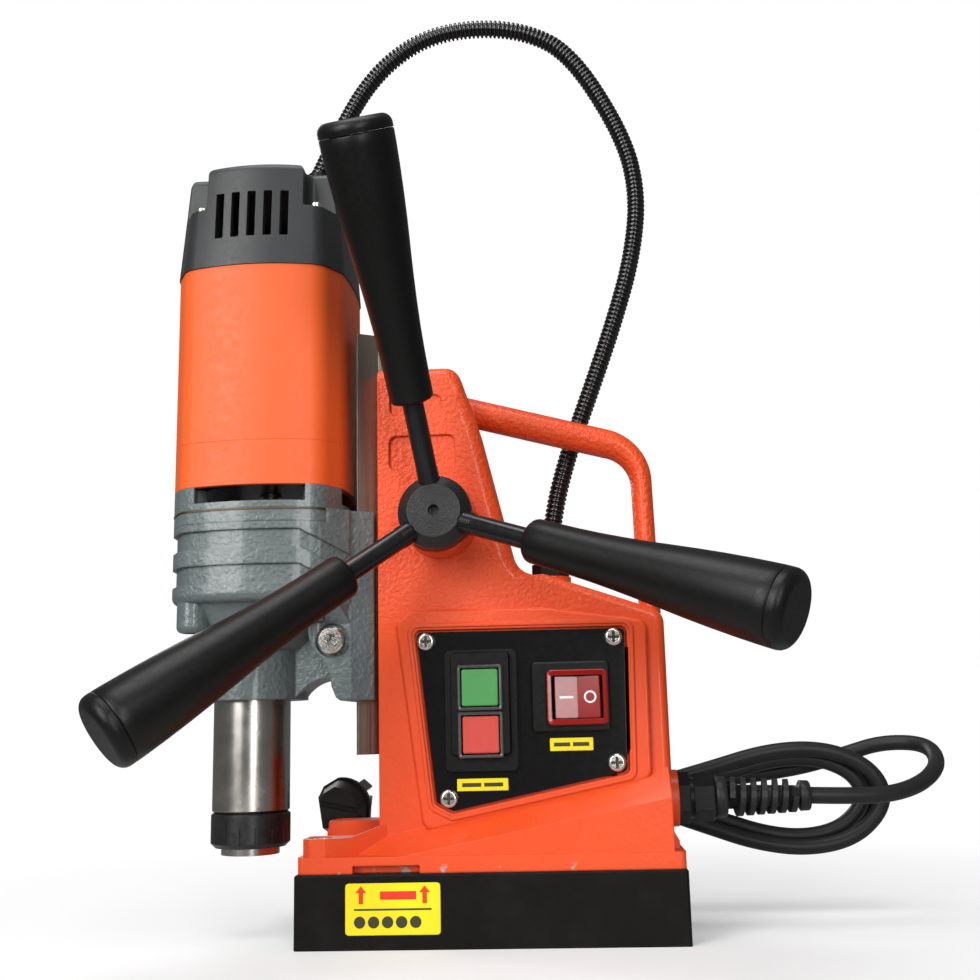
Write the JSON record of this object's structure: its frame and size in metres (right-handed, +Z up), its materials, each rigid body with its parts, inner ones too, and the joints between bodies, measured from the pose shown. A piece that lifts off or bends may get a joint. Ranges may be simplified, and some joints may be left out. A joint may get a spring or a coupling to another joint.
{
  "type": "magnetic drill press",
  "caption": "Portable drill press: magnet base, cast stand with handle, rack-fed dovetail slide, three-spoke feed wheel, geared motor unit with conduit, and a power cord in a tied hank.",
  "frame": {"origin": "centre of the magnet's bottom face", "axes": "+Z up; +X along the magnet from the spindle end to the cord end; -Y is the side of the control panel and the feed wheel"},
  "size_m": [0.3882, 0.2248, 0.4971],
  "materials": {
    "magnet_black": "satin black paint",
    "copper_winding": "enamelled copper",
    "potting_resin": "resin",
    "orange_paint": "semi-gloss orange peel paint",
    "orange_plastic": "matte orange moulding",
    "grey_hammer_paint": "hammered grey paint",
    "bright_steel": "ground steel",
    "dark_steel": "black oxide",
    "zinc_screws": "zinc plated",
    "bronze": "bearing bronze",
    "gasket_brass": "fibre gasket",
    "black_plastic": "matte black",
    "black_gloss": "glossy black",
    "green_button": "glossy green",
    "red_button": "glossy red",
    "red_rocker": "translucent red",
    "lamination": "electrical steel",
    "black_rubber": "cord sheath"
  },
  "bodies": {
    "stand": {"magnet_block": "magnet_black", "magnet_coils": "copper_winding", "magnet_potting": "potting_resin", "stand_casting": "orange_paint", "gib_strip": "bronze", "base_screws": "zinc_screws", "control_panel": "black_plastic", "panel_screws": "zinc_screws", "push_switch": "black_plastic", "rocker_bezel": "black_gloss", "switch_electrics": "black_plastic", "pinion_bushes": "bronze", "conduit_gland": "black_plastic", "conduit_lower": "black_plastic", "cord_gland": "black_plastic", "strain_relief": "black_rubber", "power_cord": "black_rubber", "power_cord_hank": "black_rubber", "power_cord_tail": "black_rubber", "power_plug": "black_rubber", "plug_pins": "bright_steel", "cord_tie": "black_plastic"},
    "feed_wheel": {"pinion_shaft": "bright_steel", "feed_hub": "dark_steel", "spoke_1": "dark_steel", "spoke_2": "dark_steel", "spoke_3": "dark_steel", "grip_1": "black_plastic", "grip_2": "black_plastic", "grip_3": "black_plastic", "grip_caps": "black_plastic"},
    "slide": {"dovetail_plate": "bright_steel", "feed_rack": "bright_steel", "rack_screws": "dark_steel"},
    "motor_unit": {"gearbox_housing": "grey_hammer_paint", "gearbox_screws": "zinc_screws", "gearbox_lid": "grey_hammer_paint", "bearings": "bright_steel", "gasket": "gasket_brass", "fan_ring": "grey_hammer_paint", "casing_skirt": "orange_plastic", "motor_casing": "orange_plastic", "motor_cap": "black_plastic", "cap_screws": "zinc_screws", "stator": "lamination", "brush_holders": "bronze", "conduit_fitting": "black_plastic", "conduit_upper": "black_plastic"},
    "clamp_bolt": {"clamp_bolt": "zinc_screws"},
    "armature": {"motor_shaft": "bright_steel", "armature_core": "lamination", "cooling_fan": "black_plastic"},
    "countershaft": {"countershaft": "bright_steel", "counter_gear": "bright_steel"},
    "spindle": {"spindle": "bright_steel", "spindle_gear": "bright_steel"},
    "release_collar": {"release_collar": "dark_steel"},
    "start_button": {"start_button": "green_button"},
    "stop_button": {"stop_button": "red_button"},
    "magnet_rocker": {"magnet_rocker": "red_rocker"}
  },
  "joints": [
    {"name": "feed_slide", "type": "slide", "parent": "stand", "child": "slide", "axis": [0, 0, 1], "range_m": [-0.036, 0.06], "deforming": ["conduit_lower"]},
    {"name": "feed_wheel_turn", "type": "hinge", "parent": "stand", "child": "feed_wheel", "pos_m": [-0.0215, 0, 0.1983], "axis": [0, 1, 0], "range_deg": [-207, 345]},
    {"name": "motor_slide", "type": "slide", "parent": "slide", "child": "motor_unit", "axis": [0, 0, 1], "range_m": [0, 0.06], "deforming": ["conduit_upper"]},
    {"name": "clamp_bolt_turn", "type": "hinge", "parent": "motor_unit", "child": "clamp_bolt", "pos_m": [-0.0755, 0, 0.141], "axis": [0, -1, 0], "range_deg": [0, 180]},
    {"name": "spindle_spin", "type": "hinge", "parent": "motor_unit", "child": "spindle", "pos_m": [-0.1215, 0, 0.08], "axis": [0, 0, 1], "continuous": true},
    {"name": "armature_spin", "type": "hinge", "parent": "motor_unit", "child": "armature", "pos_m": [-0.1134, 0, 0.26], "axis": [0, 0, 1], "continuous": true},
    {"name": "countershaft_spin", "type": "hinge", "parent": "motor_unit", "child": "countershaft", "pos_m": [-0.11822, 0.02023, 0.18], "axis": [0, 0, 1], "continuous": true},
    {"name": "collar_turn", "type": "hinge", "parent": "spindle", "child": "release_collar", "pos_m": [-0.1215, 0, 0.05], "axis": [0, 0, 1], "range_deg": [0, 30], "stiffness_Nm_per_rad": 0.2},
    {"name": "start_press", "type": "slide", "parent": "stand", "child": "start_button", "axis": [0, 1, 0], "range_m": [0, 0.003], "stiffness_N_per_m": 800},
    {"name": "stop_press", "type": "slide", "parent": "stand", "child": "stop_button", "axis": [0, 1, 0], "range_m": [0, 0.003], "stiffness_N_per_m": 800},
    {"name": "rocker_tip", "type": "hinge", "parent": "stand", "child": "magnet_rocker", "pos_m": [0.043, -0.025, 0.1108], "axis": [0, 0, 1], "range_deg": [-6, 6]}
  ],
  "couplings": [
    {"joint": "feed_wheel_turn", "follows": "feed_slide", "rad_per_m": 100},
    {"joint": "armature_spin", "follows": "spindle_spin", "ratio": 17.05},
    {"joint": "countershaft_spin", "follows": "spindle_spin", "ratio": -3.1}
  ]
}
